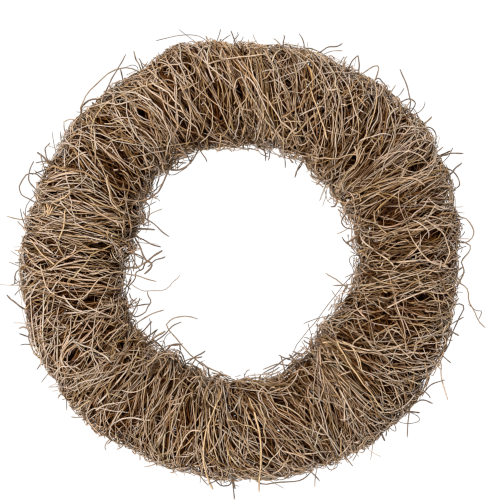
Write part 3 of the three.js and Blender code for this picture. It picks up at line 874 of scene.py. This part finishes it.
LAID_ROOTS = [
    (HAIR, GOLD, [(-50, 118), (-62, 117), (-75, 112), (-87, 107), (-96, 98), (-100, 87), (-98, 73),
                  (-90, 57), (-86, 40), (-78, 31)]),
    (THIN, PALE, [(-134, -2), (-132, -9), (-129, -18), (-120, -24), (-107, -25), (-101, -20),
                  (-95, -12), (-86, -8)]),
    (THIN, PALE, [(-100, -8), (-90, -7), (-80, -8)]),
    (THIN, GOLD, [(-117, 34), (-118, 24), (-121, 14)]),
    (THIN, RUST, [(-132, 37), (-131, 33), (-132, 29)]),
    (THIN, GOLD, [(-130, 38), (-129, 34), (-130, 29)]),
    (THIN, RUST, [(-127, 37), (-128, 33), (-128, 30)]),
    (THIN, GOLD, [(-125, 36), (-127, 32), (-129, 30)]),
    (THIN, RUST, [(-132, 32), (-128, 34), (-125, 33)]),
    (THIN, GOLD, [(-141, 14), (-131, 3), (-124, -2)]),
    (THIN, GOLD, [(-127, 38), (-118, 42), (-112, 47)]),
    (THIN, PALE, [(-90, 56), (-86, 38), (-78, 31)]),
    (STOUT, GOLD, [(-14, -86), (-19, -99), (-24, -112), (-26, -126), (-25, -138), (-22, -149),
                   (-20, -153)]),
    (STOUT, GOLD, [(4, -90), (9, -104), (12, -120), (12, -136), (11, -148), (11, -155)]),
    (HAIR, GOLD, [(-10, -104), (-1, -107), (12, -112)]),
    (HAIR, TAN, [(-2, -108), (10, -116), (28, -117), (43, -118), (46, -110), (56, -107)]),
    (THIN, PALE, [(-44, -129), (-39, -118), (-34, -112), (-27, -112)]),
    (THIN, PALE, [(62, -53), (72, -56), (84, -59), (96, -58), (109, -54)]),
    (THIN, GOLD, [(66, -53), (75, -60), (79, -73)]),
    (THIN, TAN, [(78, -58), (90, -60), (98, -68), (105, -81)]),
    (THIN, PALE, [(137, -12), (122, -19), (107, -25), (95, -31)]),
    (THIN, TAN, [(97, -36), (112, -38), (126, -39), (140, -36)]),
    (THIN, PALE, [(4, 139), (6, 126), (12, 113), (19, 103), (26, 92), (36, 84)]),
    (HAIR, PALE, [(14, 141), (20, 128), (22, 112), (30, 98)]),
    (HAIR, PALE, [(52, 137), (52, 127), (46, 119), (38, 110)]),
    (THIN, GOLD, [(44, 116), (48, 104), (53, 90), (56, 80)]),
    (THIN, PALE, [(-24, 130), (-10, 134), (14, 137)]),
    (THIN, PALE, [(108, 22), (116, 8), (125, -1), (136, -4)]),
    (THIN, PALE, [(120, 27), (131, 20), (137, 8), (134, -3)]),
    (THIN, TAN, [(40, 109), (52, 118), (63, 127)]),
    (THIN, GOLD, [(62, -52), (67, -62), (76, -76), (86, -89), (94, -101)]),
]


def through(points):
    """A smooth line through given points."""
    points = np.array(points, dtype=float)
    padded = np.vstack([2 * points[0] - points[1], points, 2 * points[-1] - points[-2]])
    place = np.linspace(0, len(points) - 1, SPRUNG_STEPS)
    span = np.minimum(place.astype(int), len(points) - 2)
    way = (place - span)[:, None]
    before, start, end, after = (padded[span + shift] for shift in range(4))
    curving = 2 * before - 5 * start + 4 * end - after
    easing = 3 * start - before - 3 * end + after
    return start + way * (end - before + way * (curving + way * easing)) / 2


def top_height(x, y):
    """How high a root lies on the body at a point seen from above."""
    angle = math.atan2(y, x)
    outer = OUTER_RADIUS + waver(OUTER_WAVER, angle) + bulges(OUTER_BULGES, angle)
    inner = HOLE_RADIUS + waver(HOLE_WAVER, angle) + bulges(HOLE_BULGES, angle)
    across = (math.hypot(x, y) - (outer + inner) / 2) / ((outer - inner) / 2 + LAID_LIFT)
    return HOOP_HEIGHT + (TOP_RISE + LAID_LIFT) * math.sqrt(max(1 - across**2, 0.1))


random = np.random.default_rng(HOOP_HEIGHT)
sprung = [(thick, own_bark, through([(x, y, height) for x, y in points]))
          for thick, own_bark, height, points in OUTER_SPRINGS + HOLE_SPRINGS]
sprung += [(thick, own_bark, through([(x, y, top_height(x, y)) for x, y in points]))
           for thick, own_bark, points in LAID_ROOTS]
lines = np.array([line for _, _, line in sprung])
reach = np.linalg.norm(np.diff(lines, axis=1), axis=2).sum(axis=1)
for axis, size in enumerate(SPRUNG_WAVINESS):
    lines[:, :, axis] += rolling(random, reach, SPRUNG_STEPS, SPRUNG_WAVE, size)
radii = tapered(random, np.array([thick for thick, _, _ in sprung]), SPRUNG_STEPS, SPRUNG_TIP)
tones = np.array([[own_bark[0], 0, own_bark[1]] for _, own_bark, _ in sprung])
tones = np.repeat(tones[:, None], SPRUNG_STEPS, axis=1)
sprung_roots = root_piece("sprung_roots", [(lines, radii, tones, SPRUNG_SIDES)])
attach(sprung_roots, "root")


# The table, the light and the camera. The table is white and lit from below a little, as a
# photographer's light table is, and the roots don't mirror it. The camera sees it as just
# white, so that it doesn't outshine thin roots. Three softboxes stand round it.

TABLE_SIZE = 6.0
TABLE_GLOW, JUST_WHITE, ROOM_LIGHT = 0.85, 1.02, 0.51
VIEW_WIDTH = 0.338
VIEW_CENTRE = (0.0049, 0.0073)
CAMERA_HEIGHT = 1.4
SENSOR_WIDTH = 36.0
PIXEL_BLUR = 1.2

bpy.ops.mesh.primitive_plane_add(size=TABLE_SIZE, location=(0, 0, 0))
table = bpy.context.object
table.name = "table"
table_white = bpy.data.materials.new("white table")
table_white.use_nodes = True
shader = table_white.node_tree.nodes["Principled BSDF"]
shader.inputs["Base Color"].default_value = (0.9, 0.9, 0.9, 1)
shader.inputs["Roughness"].default_value = 0.9
shader.inputs["Emission Color"].default_value = (1, 1, 1, 1)
shader.inputs["Emission Strength"].default_value = TABLE_GLOW
tree = table_white.node_tree
just_white = add_node(tree, "ShaderNodeEmission", Strength=JUST_WHITE)
camera_sees = add_node(tree, "ShaderNodeLightPath").outputs["Is Camera Ray"]
as_seen = add_node(tree, "ShaderNodeMixShader")
for socket, part in zip(as_seen.inputs, (camera_sees, shader.outputs[0], just_white.outputs[0])):
    feed(tree, socket, part)
feed(tree, tree.nodes["Material Output"].inputs["Surface"], as_seen.outputs[0])
table.data.materials.append(table_white)
table.visible_glossy = False

world = bpy.data.worlds.new("white room")
bpy.context.scene.world = world
world.use_nodes = True
world.node_tree.nodes["Background"].inputs["Color"].default_value = (1, 1, 1, 1)
world.node_tree.nodes["Background"].inputs["Strength"].default_value = ROOM_LIGHT

# Each softbox has its bearing and its rise in degrees, and its power.
LAMP_DISTANCE = 1.7
LAMP_SIZE = 0.25
LAMPS = [("key softbox", 134, 50, 36), ("low softbox", 252, 38, 29), ("right softbox", 48, 40, 17)]

for name, bearing, rise, energy in LAMPS:
    bearing, rise = math.radians(bearing), math.radians(rise)
    away = (math.cos(bearing) * math.cos(rise), math.sin(bearing) * math.cos(rise), math.sin(rise))
    bpy.ops.object.light_add(type="AREA", location=[LAMP_DISTANCE * part for part in away])
    softbox = bpy.context.object
    softbox.name = name
    softbox.data.shape = "SQUARE"
    softbox.data.size = LAMP_SIZE
    softbox.data.energy = energy
    softbox.rotation_euler = softbox.location.to_track_quat("Z", "Y").to_euler()

bpy.ops.object.camera_add(location=(*VIEW_CENTRE, CAMERA_HEIGHT), rotation=(0, 0, 0))
camera = bpy.context.object
camera.data.sensor_width = SENSOR_WIDTH
camera.data.lens = SENSOR_WIDTH * (CAMERA_HEIGHT - HOOP_HEIGHT * MM) / VIEW_WIDTH
bpy.context.scene.camera = camera
bpy.context.scene.view_settings.view_transform = "Standard"
bpy.context.scene.cycles.filter_width = PIXEL_BLUR
